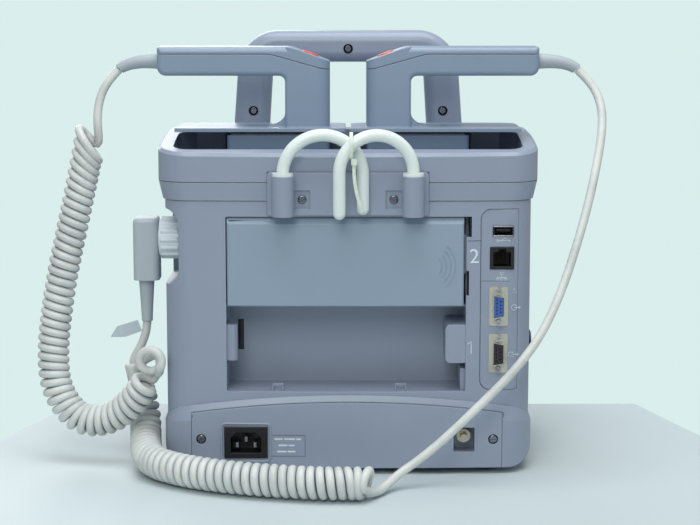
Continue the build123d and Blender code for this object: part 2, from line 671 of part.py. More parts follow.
def paddle_handle():
    """Grip and column before the seam splits them."""
    crest = (46.0, GRIP_TOP)
    low_end = (GRIP_END, GRIP_BOTTOM)
    high_end = (GRIP_END, GRIP_TOP)
    heel = (COLUMN_OUT, PLATE_Z + 2.8)
    armpit = (COLUMN_OUT, GRIP_BOTTOM)
    profile = [
        (COLUMN_IN, 267.0), (COLUMN_IN, 320.4), crest, high_end, low_end, armpit, heel,
        (COLUMN_OUT + 16.0, PLATE_Z + 2.8), (COLUMN_OUT + 16.0, 267.0),
    ]
    rounds = [(crest, 30.0), (low_end, 7.0), (high_end, 1.5), (armpit, 5.0), (heel, 12.0)]
    side_view = paddle_section(profile, 17.0, rounds)
    post, grip = paddle_plan(0.0)
    post = fillet(post.vertices().sort_by(Axis.X)[-2:], 3.0)
    upper = side_view & prism(grip, 300.0, 350.0)
    long_edges = upper.edges().filter_by(
        lambda e: abs(e.center().Y - PADDLE_Y) > 15 and COLUMN_OUT + 2 < e.center().X < GRIP_END - 1
    )
    upper = fillet(long_edges, 4.0)
    flare = side_view & box(COLUMN_OUT - 4, 80, PADDLE_Y - 13.0, PADDLE_Y + 13.0, 260, 290)
    return (side_view & prism(post, 260.0, 350.0)) + upper + flare


def seam_groove():
    """Narrow groove round the handle where its two shells meet."""
    band = paddle_split(0.3) - paddle_split(-0.3)
    post, grip = paddle_plan(0.9)
    core = prism(post, 290.0, 350.0) + prism(grip, 290.0, 350.0)
    return band - core


def paddle_plate():
    """Thin guard plate under the grip, its top falling slightly towards the front."""
    plan = Pos(69.25, 24.0) * Rectangle(134.5, 80.0)
    far = plan.vertices().sort_by(Axis.Y)[:2]
    plan = fillet(far, 14.0)
    slab = prism(plan, 255.0, 275.0)
    section = make_face(
        Polyline(
            (64.5, PLATE_Z), (64.5, PLATE_Z + 3.0), (-16.5, PLATE_Z + 1.4), (-16.5, PLATE_Z - 1.4),
            (64.5, PLATE_Z),
        )
    )
    return slab & extrude(Plane.YZ * section, amount=200)


def paddle_lower_shell():
    """Lower shell: grip underside, column and guard plate."""
    return paddle_handle() - paddle_split(0.0) - seam_groove() + paddle_plate()


def paddle_upper_shell():
    """Upper shell of the paddle with the button's pocket."""
    shell = (paddle_handle() & paddle_split(0.0)) - seam_groove()
    return shell - button_place() * rod(7.2, (0, 0, -5.2), (0, 0, 1), 14.0)


def button_place():
    """Placement on the sloping thumb face, with local Z out of the face."""
    return Pos(30.0, PADDLE_Y - 2.0, 325.6) * Rot(0, -SLOPE_DEG, 0)


def paddle_button():
    """Round discharge button on the thumb face."""
    cap = rod(6.8, (0, 0, -2.0), (0, 0, 1), 3.3)
    return button_place() * fillet(cap.edges().sort_by(Axis.Z)[-1], 1.2)


def paddle_electrode_block():
    """Block that carries the electrode, with a shallow neck under the guard plate."""
    block = plan_box(COLUMN_IN, 95.5, -12.0, 60.0, 229.0, 263.0, 3.0)
    return block + plan_box(COLUMN_IN + 2.5, 93.0, -9.5, 57.5, 263.0, 264.4, 2.0)


def paddle_electrode():
    """Stainless electrode plate under the block."""
    return plan_box(COLUMN_IN + 2.5, 93.0, -9.5, 57.5, 226.4, 229.0, 8.0)


def paddle_relief():
    """Tapered strain relief that turns down out of the grip's end."""
    stations = [
        ((GRIP_END, 31.0, 320.0), (1, 0, 0), 6.2),
        ((161.0, 31.0, 320.0), (1, 0, -0.05), 5.6),
        ((172.5, 31.0, 318.4), (1, 0, -0.28), 5.0),
        (RELIEF_END, (0.73, 0.04, -0.69), 4.4),
    ]
    return loft([Plane(origin=o, z_dir=d) * Circle(r) for o, d, r in stations])


def route_path(points):
    """Straight runs joined by tangent arcs as large as the runs allow."""
    stops = [Vector(*p) for p in points]
    runs = [b - a for a, b in zip(stops, stops[1:])]
    radii = []
    for before, after in zip(runs, runs[1:]):
        turn = math.radians(before.get_angle(after))
        radii.append(0.45 * min(before.length, after.length) / math.tan(turn / 2))
    print("  radii", [round(r, 1) for r in radii])
    return FilletPolyline(*stops, radius=radii)


def cord(points, diameter):
    """A round cord along a route."""
    path = route_path(points)
    solid = sweep(Plane(origin=path @ 0, z_dir=path % 0) * Circle(diameter / 2), path=path)
    ideal = math.pi * diameter**2 / 4 * path.length
    print(f"  length {path.length:.1f}, volume over ideal {solid.volume / ideal:.4f}")
    return solid


def display_window():
    """Clear window over the display."""
    return panel_box(-97.8, 42.8, -110.0, -106.6, 90.2, 195.8, 4.0)


def lcd_module():
    """Display module behind the window."""
    return box(-95.0, 40.0, -105.8, -94.0, 94.0, 192.0)


def keypad_overlay():
    """Thin key overlay on the front face, round the knob and the shock key."""
    sheet = panel_box(52.0, 134.0, -109.9, CASE_FRONT, 74.0, 200.0, 8.0)
    sheet += panel_box(-98.0, 44.0, -109.9, CASE_FRONT, 66.0, 84.0, 4.0)
    sheet -= rod(5.6, (KNOB_X, -115.0, KNOB_Z), (0, 1, 0), 10.0)
    return sheet - rod(7.4, (KNOB_X, -115.0, KEY_Z), (0, 1, 0), 10.0)


def mode_knob():
    """Mode and energy selector with a finger bar and its shaft."""
    skirt = rod(24.0, (KNOB_X, -114.5, KNOB_Z), (0, 1, 0), 4.0)
    grip = rod(17.0, (KNOB_X, KNOB_FRONT, KNOB_Z), (0, 1, 0), 11.0)
    grip = fillet(grip.edges().sort_by(Axis.Y)[0], 2.0)
    return skirt + grip + rod(4.6, (KNOB_X, -111.0, KNOB_Z), (0, 1, 0), 14.0)


def shock_key():
    """Round shock key."""
    cap = rod(11.0, (KNOB_X, -114.2, KEY_Z), (0, 1, 0), 2.6)
    cap = fillet(cap.edges().sort_by(Axis.Y)[0], 1.4)
    return cap + rod(7.0, (KNOB_X, -112.0, KEY_Z), (0, 1, 0), 9.0)


def printer_door():
    """Recorder door on the -X side, hinged along its lower edge."""
    door = box(-145.6, -142.0, -93.4, -38.6, 128.4, 193.4)
    door = chamfer(door.edges().filter_by(Axis.Y).sort_by(Axis.Z)[-2:].sort_by(Axis.X)[0], 1.2)
    barrel = rod(1.8, (-143.8, -93.4, 128.4), (0, 1, 0), 54.8)
    grip = box(-146.4, -145.0, -76.0, -56.0, 184.0, 187.0)
    return door + barrel + grip


def patient_sockets():
    """Three round patient-lead sockets on the -X side."""
    places = [(-6.0, 96.0), (20.0, 96.0), (46.0, 96.0)]
    return [tube(9.0, 6.0, (-143.5, y, z), (-1, 0, 0), 3.0) for y, z in places]


def main_board():
    """Main circuit board between the display and the battery bay."""
    board = box(-112.0, 104.0, 18.0, 19.6, 70.0, 204.0)
    for x, z, half in ((-60.0, 150.0, 16.0), (20.0, 110.0, 12.0), (60.0, 170.0, 9.0)):
        board += box(x - half, x + half, 14.5, 18.0, z - half, z + half)
    return board


def power_module():
    """Mains power supply in the base."""
    return box(-60.0, 60.0, -60.0, 60.0, 12.0, 42.0)


def capacitor():
    """High-voltage therapy capacitor lying across the case."""
    can = rod(27.0, (-75.0, -45.0, 112.0), (1, 0, 0), 92.0)
    for z in (102.0, 122.0):
        can += rod(4.0, (17.0, -45.0, z), (1, 0, 0), 8.0)
    return can


PADDLE_PARTS = {
    "lower_shell": paddle_lower_shell,
    "upper_shell": paddle_upper_shell,
    "electrode_block": paddle_electrode_block,
    "electrode": paddle_electrode,
    "button": paddle_button,
    "relief": paddle_relief,
}

SINGLE_PARTS = [
    rear_case, front_case, collar_band, top_cover, base_housing, mains_panel, feet,
    handle_rear_half, handle_front_half, case_screws, hook_bracket, hook_bushes, hook_left,
    hook_right, cable_tie, battery_case, battery_cells, latch_upper, latch_lower, bay_contacts,
    connector_panel, data_ports, dsub_shells, dsub_inserts, jackscrews, mains_inlet,
    mains_inlet_pins, ground_stud, therapy_socket, therapy_lock_ring, therapy_plug, plug_relief,
    cord_split, display_window, lcd_module, keypad_overlay, mode_knob, shock_key, printer_door,
    patient_sockets, main_board, power_module, capacitor,
]

CORDS = {
    "cord_trunk": (TRUNK, CORD_D),
    "cord_left_lead": (LEFT_LEAD, CORD_D),
    "cord_left_coil": (LEFT_COIL, COIL_D),
    "cord_right_coil": (RIGHT_COIL, COIL_D),
    "cord_right_lead": (RIGHT_LEAD, CORD_D),
}


def save(name, shape):
    """Write one node, as one solid or as a group of separate solids."""
    body = Compound(children=shape) if isinstance(shape, list) else shape
    export_step(body, f"parts/{name}.step")
    print(name)


os.makedirs("parts", exist_ok=True)
for build in SINGLE_PARTS:
    save(build.__name__, build())
for piece, build in PADDLE_PARTS.items():
    shape = build()
    save(f"paddle_left_{piece}", shape)
    save(f"paddle_right_{piece}", mirror(shape, about=Plane.YZ))
for name, (points, diameter) in CORDS.items():
    save(name, cord(points, diameter))
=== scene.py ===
import math

import bmesh
import bpy
from mathutils import Matrix, Vector, noise


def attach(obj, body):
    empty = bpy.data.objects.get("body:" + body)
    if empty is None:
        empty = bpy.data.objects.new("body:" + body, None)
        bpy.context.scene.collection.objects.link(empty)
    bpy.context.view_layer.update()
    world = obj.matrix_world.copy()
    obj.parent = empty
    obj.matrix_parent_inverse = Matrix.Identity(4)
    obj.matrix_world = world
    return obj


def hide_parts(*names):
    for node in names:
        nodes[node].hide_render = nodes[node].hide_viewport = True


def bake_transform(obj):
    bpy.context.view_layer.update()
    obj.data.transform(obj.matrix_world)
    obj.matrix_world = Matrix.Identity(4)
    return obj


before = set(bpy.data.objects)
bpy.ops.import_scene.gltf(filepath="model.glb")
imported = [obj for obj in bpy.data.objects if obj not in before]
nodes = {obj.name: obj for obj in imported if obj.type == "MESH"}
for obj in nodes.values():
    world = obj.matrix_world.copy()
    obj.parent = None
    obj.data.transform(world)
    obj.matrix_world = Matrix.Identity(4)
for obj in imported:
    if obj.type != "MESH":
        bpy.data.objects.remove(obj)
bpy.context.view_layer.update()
scene = bpy.context.scene
MM = 0.001

# Camera. It looks at the rear panel from a little above the rim, so the tray's far wall just shows.
camera_data = bpy.data.cameras.new("camera")
camera_data.sensor_width = 36.0
camera_data.lens = 100.48
camera = bpy.data.objects.new("camera", camera_data)
camera.location = (-0.00156, 1.598, 0.390)
camera.rotation_euler = (math.radians(81.56), 0.0, math.radians(180.0))
scene.collection.objects.link(camera)
scene.camera = camera

# Paddle cords. Each is one insulated lead with a polyurethane jacket, wound hot into a curl that
# springs back, with a straight lead at its paddle end. Both meet in the junction under the plug.
CORD_D = 6.8 * MM
CURL_RADIUS = 9.95 * MM
CURL_STEPS = 14
TURN_SIZE = 0.97
LEFT_PITCH = 6.95 * MM
RIGHT_PITCH = 7.0 * MM
ROUTE_RESOLUTION = 24
CORD_RESOLUTION = 3
LEFT_LEAD = [
    (0.1829, 0.0310, 0.3136), (0.1905, 0.0315, 0.3060), (0.1968, 0.0330, 0.2955),
    (0.2000, 0.0350, 0.2830), (0.2004, 0.0365, 0.2700), (0.1996, 0.0350, 0.2590),
    (0.2010, 0.0325, 0.2520),
]
LEFT_CURL = [
    (0.2060, 0.0420, 0.2570), (0.2130, 0.0430, 0.2240), (0.2200, 0.0445, 0.1920),
    (0.2280, 0.0460, 0.1580), (0.2340, 0.0480, 0.1240), (0.2380, 0.0510, 0.0900),
    (0.2355, 0.0570, 0.0580), (0.2170, 0.0640, 0.0345), (0.1940, 0.0700, 0.0350),
    (0.1770, 0.0750, 0.0460), (0.1655, 0.0790, 0.0590), (0.1600, 0.0810, 0.0700),
]
INTO_LOOP = [(0.1520, 0.0765, 0.0745), (0.1488, 0.0845, 0.0775)]
LOOP_CENTRE = (0.1556, 0.0905, 0.0872)
LOOP_RADIUS = 9.2 * MM
LOOP_POINTS = 16
LOOP_START = 212.0
LOOP_STEP = 23.5
LOOP_DRIFT = 0.0007
LEFT_TAIL = [
    (0.1500, 0.0775, 0.0905), (0.1560, 0.0690, 0.0880), (0.1640, 0.0580, 0.0820),
    (0.1705, 0.0480, 0.0745), (0.1722, 0.0430, 0.0690),
]
TRUNK = [
    (0.1625, 0.0400, 0.1120), (0.1630, 0.0401, 0.1055), (0.1644, 0.0404, 0.0995),
    (0.1670, 0.0410, 0.0926), (0.1706, 0.0418, 0.0860), (0.1736, 0.0425, 0.0806),
    (0.1742, 0.0427, 0.0750), (0.1722, 0.0420, 0.0660),
]
RIGHT_CURL = [
    (0.1700, 0.0410, 0.0564), (0.1655, 0.0425, 0.0420), (0.1632, 0.0560, 0.0225),
    (0.1608, 0.0840, 0.0145), (0.1525, 0.1170, 0.0135), (0.1290, 0.1420, 0.0135),
    (0.1010, 0.1590, 0.0135), (0.0710, 0.1705, 0.0135), (0.0390, 0.1785, 0.0135),
    (0.0090, 0.1835, 0.0135), (-0.0160, 0.1817, 0.0135),
]
RIGHT_LEAD = [
    (-0.0206, 0.1758, 0.0042), (-0.0286, 0.1610, 0.0056), (-0.0385, 0.1485, 0.0120),
    (-0.0551, 0.1415, 0.0215), (-0.0767, 0.1360, 0.0386), (-0.1013, 0.1320, 0.0620),
    (-0.1229, 0.1270, 0.0821), (-0.1416, 0.1210, 0.1033), (-0.1546, 0.1140, 0.1240),
    (-0.1660, 0.1050, 0.1480), (-0.1760, 0.0950, 0.1746), (-0.1852, 0.0840, 0.2020),
    (-0.1933, 0.0720, 0.2310), (-0.1996, 0.0580, 0.2577), (-0.2024, 0.0460, 0.2781),
    (-0.1998, 0.0370, 0.2925), (-0.1928, 0.0325, 0.3045), (-0.1829, 0.0310, 0.3136),
]


def linear(code):
    """A six-digit sRGB hex colour as linear RGBA."""
    parts = [int(code[i : i + 2], 16) / 255 for i in (0, 2, 4)]
    curved = [c / 12.92 if c <= 0.04045 else ((c + 0.055) / 1.055) ** 2.4 for c in parts]
    return (*curved, 1.0)


def add_node(tree, kind, inputs=None, **settings):
    """Add a shader or geometry node with its settings, values and links."""
    node = tree.nodes.new(kind)
    for key, value in settings.items():
        setattr(node, key, value)
    for socket, value in (inputs or {}).items():
        if isinstance(value, bpy.types.NodeSocket):
            tree.links.new(value, node.inputs[socket])
        else:
            node.inputs[socket].default_value = value
    return node


def start_material(name):
    """An empty node material, its tree and its surface shader."""
    material = bpy.data.materials.new(name)
    material.use_nodes = True
    tree = material.node_tree
    tree.nodes.clear()
    shader = add_node(tree, "ShaderNodeBsdfPrincipled")
    add_node(tree, "ShaderNodeOutputMaterial", {"Surface": shader.outputs["BSDF"]})
    place = add_node(tree, "ShaderNodeTexCoord").outputs["Object"]
    return material, tree, shader, place


def jacket_finish():
    """Polyurethane cord jacket: off-white and satin, in patchy tones, with a blue grey painted shade where
    the turns hide each other.
    """
    material, tree, shader, place = start_material("polyurethane_jacket")
    patches = add_node(tree, "ShaderNodeTexNoise", {"Vector": place, "Scale": 45.0, "Detail": 3.0})
    ramp = add_node(tree, "ShaderNodeValToRGB", {"Fac": patches.outputs["Fac"]})
    ramp.color_ramp.elements[0].position = 0.30
    ramp.color_ramp.elements[0].color = linear("c6cac7")
    ramp.color_ramp.elements[1].position = 0.62
    ramp.color_ramp.elements[1].color = linear("d9dcd8")
    # painted shade: the occlusion mask mixes in a blue grey where the turns of the curl hide each other
    turn_shade_ao = add_node(tree, "ShaderNodeAmbientOcclusion", {"Distance": 3.0 * MM}, samples=4)
    tone = add_node(
        tree,
        "ShaderNodeMix",
        {0: turn_shade_ao.outputs["AO"], 6: linear("a3adb8"), 7: ramp.outputs["Color"]},
        data_type="RGBA",
    )
    tree.links.new(tone.outputs[2], shader.inputs["Base Color"])
    # the real orange-peel is about 0.3 mm across and is drawn at 0.9 mm, so that it shows
    peel = add_node(tree, "ShaderNodeTexNoise", {"Vector": place, "Scale": 1100.0, "Detail": 2.0})
    bump = add_node(
        tree,
        "ShaderNodeBump",
        {"Height": peel.outputs["Fac"], "Strength": 0.08, "Distance": 0.2 * MM},
    )
    tree.links.new(bump.outputs["Normal"], shader.inputs["Normal"])
    shader.inputs["Roughness"].default_value = 0.42
    shader.inputs["IOR"].default_value = 1.5
    shader.inputs["Subsurface Weight"].default_value = 0.08
    shader.inputs["Subsurface Radius"].default_value = (0.002, 0.002, 0.0018)
    return material


def nurbs_object(name, points):
    """A smooth curve object whose control points are the given ones."""
    data = bpy.data.curves.new(name, "CURVE")
    data.dimensions = "3D"
    spline = data.splines.new("NURBS")
    spline.points.add(len(points) - 1)
    for point, place in zip(spline.points, points):
        point.co = (*place, 1.0)
    spline.order_u = 3
    spline.use_endpoint_u = True
    obj = bpy.data.objects.new(name, data)
    scene.collection.objects.link(obj)
    return obj


def as_mesh(obj):
    """The evaluated shape of an object as a plain mesh."""
    bpy.context.view_layer.update()
    return bpy.data.meshes.new_from_object(obj.evaluated_get(bpy.context.evaluated_depsgraph_get()))


def drop(obj):
    """Remove a working object."""
    bpy.data.objects.remove(obj)


def followed(points):
    """The points of the smooth line through a route."""
    guide = nurbs_object("guide", points)
    guide.data.resolution_u = ROUTE_RESOLUTION
    mesh = as_mesh(guide)
    line = [v.co.copy() for v in mesh.vertices]
    drop(guide)
    return line


def curl(route, hand, phase, pitch, lean, opening):
    """Points of a curled cord round a route. lean tips the turns and opening sets their size."""
    line = followed(route)
    reach = [0.0]
    for a, b in zip(line, line[1:]):
        reach.append(reach[-1] + (b - a).length)
    steps = round(reach[-1] / pitch) * CURL_STEPS
    made = []
    at = 0
    side = Vector((0.0, 1.0, 0.0))
    for i in range(steps + 1):
        share = i / steps
        s = reach[-1] * share
        while at < len(line) - 2 and reach[at + 1] < s:
            at += 1
        run = line[at + 1] - line[at]
        centre = line[at] + run * ((s - reach[at]) / run.length)
        ahead = (line[min(at + 6, len(line) - 1)] - line[max(at - 5, 0)]).normalized()
        side = (side - ahead * side.dot(ahead)).normalized()
        across = ahead.cross(side)
        angle = phase + hand * math.tau * i / CURL_STEPS
        wobble = noise.noise(Vector((9.0 * share + 3.7 * phase, hand, 0.5)))
        radius = CURL_RADIUS * (opening(share) - 0.03 * abs(wobble))
        out = side * math.cos(angle) + across * math.sin(angle)
        tip = (lean(share) + 0.10 * wobble) * radius * math.sin(angle)
        made.append(centre + out * radius + ahead * tip)
    return made


def cord_piece(name, points):
    """A mesh tube along one smooth line, with the points that it follows."""
    line = nurbs_object(name + "_line", points)
    line.data.resolution_u = CORD_RESOLUTION
    path_mesh = as_mesh(line)
    path = [v.co.copy() for v in path_mesh.vertices]
    line.data.bevel_depth = CORD_D / 2
    line.data.bevel_resolution = 4
    line.data.use_fill_caps = True
    mesh = as_mesh(line)
    drop(line)
    mesh.shade_smooth()
    piece = bpy.data.objects.new(name, mesh)
    mesh.materials.clear()
    mesh.materials.append(jacket)
    scene.collection.objects.link(piece)
    return piece, path


jacket = jacket_finish()


def left_lean(share):
    """The first turns hang steeply from the lead, and the rest lie nearly flat."""
    return -0.06 - 0.85 * max(0.0, 1.0 - share / 0.16) ** 1.2


def left_opening(share):
    """The first turn is a little wider and the last a little tighter."""
    wide_start = 0.10 * max(0.0, 1.0 - share / 0.04)
    tight_end = 0.13 * max(0.0, (share - 0.95) / 0.05)
    return TURN_SIZE + wide_start - tight_end


left_turns = curl(LEFT_CURL, -1.0, math.pi, LEFT_PITCH, left_lean, left_opening)
left_points = [Vector(p) for p in LEFT_LEAD] + left_turns[1:]
left_points += [Vector(p) for p in INTO_LOOP]
loop_x, loop_y, loop_z = LOOP_CENTRE
for step in range(LOOP_POINTS):
    turn = math.radians(LOOP_START - LOOP_STEP * step)
    x = loop_x + LOOP_RADIUS * math.cos(turn)
    z = loop_z + LOOP_RADIUS * math.sin(turn)
    left_points.append(Vector((x, loop_y - LOOP_DRIFT * step, z)))
left_points += [Vector(p) for p in LEFT_TAIL]
left_cord, left_path = cord_piece("cord_left", left_points)
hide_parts("cord_left_lead", "cord_left_coil")


def right_lean(share):
    """The turns on the table lean a little, the last one more."""
    return 0.04 - 0.64 * max(0.0, (share - 0.96) / 0.04)


def right_opening(share):
    """Turns of one size, which keeps them on the table."""
    return TURN_SIZE


right_turns = curl(RIGHT_CURL, 1.0, math.pi / 2, RIGHT_PITCH, right_lean, right_opening)
right_points = [Vector(p) for p in TRUNK] + right_turns + [Vector(p) for p in RIGHT_LEAD]
right_cord, right_path = cord_piece("cord_right", right_points)
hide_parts("cord_trunk", "cord_right_coil", "cord_right_lead")
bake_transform(left_cord)
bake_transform(right_cord)

# Floor and lights. A pale laminate table in a pale room, lit softly from above the camera, from
# overhead and from the front.
table_mesh = bpy.data.meshes.new("table")
TABLE_TOP = [(-0.262, -0.150), (0.250, -0.150), (0.62, 1.05), (-0.62, 1.05)]
corners = [(x, y, 0.0) for x, y in TABLE_TOP] + [(x, y, -0.025) for x, y in TABLE_TOP]
table_faces = [(0, 1, 2, 3), (7, 6, 5, 4), (1, 0, 4, 5), (2, 1, 5, 6), (3, 2, 6, 7), (0, 3, 7, 4)]
table_mesh.from_pydata(corners, [], table_faces)
table = bpy.data.objects.new("table", table_mesh)
scene.collection.objects.link(table)
laminate, tree, shader, place = start_material("pale_laminate")
mottle = add_node(tree, "ShaderNodeTexNoise", {"Vector": place, "Scale": 6.0, "Detail": 4.0})
tone = add_node(
    tree,
    "ShaderNodeMix",
    {0: mottle.outputs["Fac"], 6: linear("c0ccd0"), 7: linear("c8d4d6")},
    data_type="RGBA",
)
tree.links.new(tone.outputs[2], shader.inputs["Base Color"])
shader.inputs["Roughness"].default_value = 0.55
table_mesh.materials.append(laminate)


def soft_light(name, place, target, size, power, colour):
    """A square area light that faces a point."""
    data = bpy.data.lights.new(name, "AREA")
    data.size = size
    data.energy = power
    data.color = linear(colour)[:3]
    light = bpy.data.objects.new(name, data)
    light.location = place
    light.rotation_euler = (Vector(target) - Vector(place)).to_track_quat("-Z", "Y").to_euler()
    scene.collection.objects.link(light)


soft_light("key_light", (0.25, 1.9, 1.25), (0.0, 0.05, 0.15), 0.8, 13.0, "fffdf8")
soft_light("top_light", (-0.1, 0.25, 1.5), (0.0, 0.0, 0.1), 1.2, 17.0, "fbfdff")
soft_light("front_fill", (0.6, -1.8, 1.0), (0.0, -0.1, 0.15), 1.2, 12.0, "fbffff")
world = bpy.data.worlds.new("pale_room")
world.use_nodes = True
room = world.node_tree
seen = room.nodes["Background"]
seen.inputs["Color"].default_value = (0.70, 0.856, 0.84, 1.0)
glow = add_node(room, "ShaderNodeBackground", {"Color": linear("eaf2f4"), "Strength": 0.46})
ray = add_node(room, "ShaderNodeLightPath")
either = add_node(
    room,
    "ShaderNodeMixShader",
    {0: ray.outputs["Is Camera Ray"], 1: glow.outputs["Background"], 2: seen.outputs["Background"]},
)
room.links.new(either.outputs["Shader"], room.nodes["World Output"].inputs["Surface"])
scene.world = world
scene.view_settings.view_transform = "Standard"

# Case shells. Injection-moulded ABS blend, spark-eroded satin texture, in a grey blue; rear and
# front halves, collar band, rim with the paddle tray, and the base close round the chassis.


def moulded_finish(name, colour, roughness, grain=0.9, relief=0.10, edge="b4c2cf"):
    """Moulded plastic: satin, slow tone changes, a fine eroded grain, and edges paler, partly wear and
    partly painted highlight.
    """
    material, tree, shader, place = start_material(name)
    slow = add_node(tree, "ShaderNodeTexNoise", {"Vector": place, "Scale": 11.0, "Detail": 3.0})
    base = linear(colour)
    dull = tuple(0.93 * c for c in base[:3]) + (1.0,)
    tone = add_node(
        tree, "ShaderNodeMix", {0: slow.outputs["Fac"], 6: dull, 7: base}, data_type="RGBA"
    )
    # edges go toward the edge colour where the bevel normal turns away from the true one: partly wear,
    # partly a painted highlight
    soft = add_node(tree, "ShaderNodeBevel", {"Radius": 0.9 * MM}, samples=4)
    flat = add_node(tree, "ShaderNodeNewGeometry")
    turn = add_node(
        tree,
        "ShaderNodeVectorMath",
        {0: soft.outputs["Normal"], 1: flat.outputs["Normal"]},
        operation="DOT_PRODUCT",
    )
    edge_wear_and_highlight_mask = add_node(
        tree, "ShaderNodeMapRange", {"Value": turn.outputs["Value"], 1: 0.985, 2: 0.80, 3: 0.0, 4: 0.5}
    )
    edge_wear_and_highlight = add_node(
        tree,
        "ShaderNodeMix",
        {0: edge_wear_and_highlight_mask.outputs["Result"], 6: tone.outputs[2], 7: linear(edge)},
        data_type="RGBA",
    )
    tree.links.new(edge_wear_and_highlight.outputs[2], shader.inputs["Base Color"])
    # real eroded grain is near 0.15 mm; it is drawn coarser so that it shows
    fine = add_node(
        tree, "ShaderNodeTexNoise", {"Vector": place, "Scale": 1000.0 / grain, "Detail": 2.0}
    )
    bump = add_node(
        tree,
        "ShaderNodeBump",
        {
            "Height": fine.outputs["Fac"],
            "Strength": relief,
            "Distance": 0.15 * MM,
            "Normal": soft.outputs["Normal"],
        },
    )
    tree.links.new(bump.outputs["Normal"], shader.inputs["Normal"])
    sheen = add_node(
        tree,
        "ShaderNodeMapRange",
        {"Value": slow.outputs["Fac"], 1: 0.3, 2: 0.7, 3: roughness - 0.04, 4: roughness + 0.05},
    )
    tree.links.new(sheen.outputs["Result"], shader.inputs["Roughness"])
    shader.inputs["IOR"].default_value = 1.53
    return material


def dress(material, *names):
    """Give CAD nodes a finish."""
    for name in names:
        mesh = nodes[name].data
        mesh.materials.clear()
        mesh.materials.append(material)


case_abs = moulded_finish("satin_grey_blue_abs", "929db0", 0.34)
dress(case_abs, "rear_case", "front_case", "collar_band", "top_cover", "base_housing", "mains_panel")
dress(case_abs, "connector_panel", "bay_contacts", "latch_lower", "latch_upper", "printer_door")


def settle(name, mesh, material, body):
    """Link a finished mesh, give it its material and body."""
    mesh.materials.clear()
    mesh.materials.append(material)
    piece = bpy.data.objects.new(name, mesh)
    scene.collection.objects.link(piece)
    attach(piece, body)
    return piece


def add_block(bm, low, high, radius):
    """Add a box with rounded edges, in millimetres, to a bmesh."""
    low = Vector(low) * MM
    high = Vector(high) * MM
    size = high - low
    made = bmesh.ops.create_cube(bm, size=1.0)["verts"]
    for v in made:
        share = v.co + Vector((0.5, 0.5, 0.5))
        v.co = low + Vector((share.x * size.x, share.y * size.y, share.z * size.z))
    edges = list({e for v in made for e in v.link_edges})
    bmesh.ops.bevel(
        bm, geom=edges, offset=radius * MM, segments=3, profile=0.5, affect="EDGES",
        clamp_overlap=True,
    )


def finish_mesh(name, bm):
    """Turn a bmesh into a smooth-shaded mesh with sharp edges kept."""
    mesh = bpy.data.meshes.new(name)
    bm.to_mesh(mesh)
    bm.free()
    mesh.shade_smooth()
    mesh.set_sharp_from_angle(angle=math.radians(40.0))
    return mesh


def blocks(name, boxes, radius, material, body):
    """One piece made of rounded boxes."""
    bm = bmesh.new()
    for low, high in boxes:
        add_block(bm, low, high, radius)
    return settle(name, finish_mesh(name, bm), material, body)


CASE_REAR = 98.0
CASE_BOW = 2576.0


def rear_y(x):
    """The bowed rear face of the case at a place across it, in millimetres."""
    return CASE_REAR - (CASE_BOW - math.sqrt(CASE_BOW**2 - x**2))


def wires(name, lines, radius, material, body):
    """Fine raised or inlaid lines, in millimetres, as one piece."""
    data = bpy.data.curves.new(name, "CURVE")
    data.dimensions = "3D"
    data.bevel_depth = radius * MM
    data.bevel_resolution = 1
    data.use_fill_caps = True
    for points in lines:
        spline = data.splines.new("POLY")
        closed = points[0] == points[-1]
        kept = points[:-1] if closed else points
        spline.points.add(len(kept) - 1)
        for point, place in zip(spline.points, kept):
            point.co = (*(Vector(place) * MM), 1.0)
        spline.use_cyclic_u = closed
    line = bpy.data.objects.new(name, data)
    scene.collection.objects.link(line)
    mesh = as_mesh(line)
    drop(line)
    mesh.shade_smooth()
    return settle(name, mesh, material, body)


def on_rear(points, lift=0.0):
    """Points (across, up) laid on the bowed rear face."""
    return [(x, rear_y(x) + lift, z) for x, z in points]


def matt_finish(name, colour, roughness):
    """A plain matt plastic or ink with a faint uneven tone."""
    material, tree, shader, place = start_material(name)
    slow = add_node(tree, "ShaderNodeTexNoise", {"Vector": place, "Scale": 160.0, "Detail": 3.0})
    base = linear(colour)
    dull = tuple(0.82 * c for c in base[:3]) + (1.0,)
    tone = add_node(
        tree, "ShaderNodeMix", {0: slow.outputs["Fac"], 6: dull, 7: base}, data_type="RGBA"
    )
    tree.links.new(tone.outputs[2], shader.inputs["Base Color"])
    bump = add_node(
        tree, "ShaderNodeBump", {"Height": slow.outputs["Fac"], "Strength": 0.05, "Distance": 0.1 * MM}
    )
    tree.links.new(bump.outputs["Normal"], shader.inputs["Normal"])
    shader.inputs["Roughness"].default_value = roughness
    shader.inputs["IOR"].default_value = 1.5
    return material


seam_dark = matt_finish("shadowed_parting_gap", "3a4356", 0.8)
white_ink = matt_finish("white_pad_print_ink", "dfeaf2", 0.5)
black_abs = moulded_finish("black_glass_filled_nylon", "0a0810", 0.42, edge="1b1824")

# Parting lines of the mains cover on the shoulder, and of the case beside the bay. Two mouldings
# meet there with a fine gap that lies in shadow.
shoulder_lines = []
for side in (-1, 1):
    x = 122.0 * side
    shoulder_lines.append(
        [(x, 102.3, 45.6), (x, 99.5, 48.2), (side * 117.0, 96.4, 50.2), (side * 105.0, 94.8, 52.6)]
    )
wires("shoulder_seams", shoulder_lines, 0.22, seam_dark, "housing")
bay_seam = on_rear([(-93.0, 184.0), (-103.5, 184.3)])
wires("bay_side_seam", [bay_seam], 0.22, seam_dark, "housing")

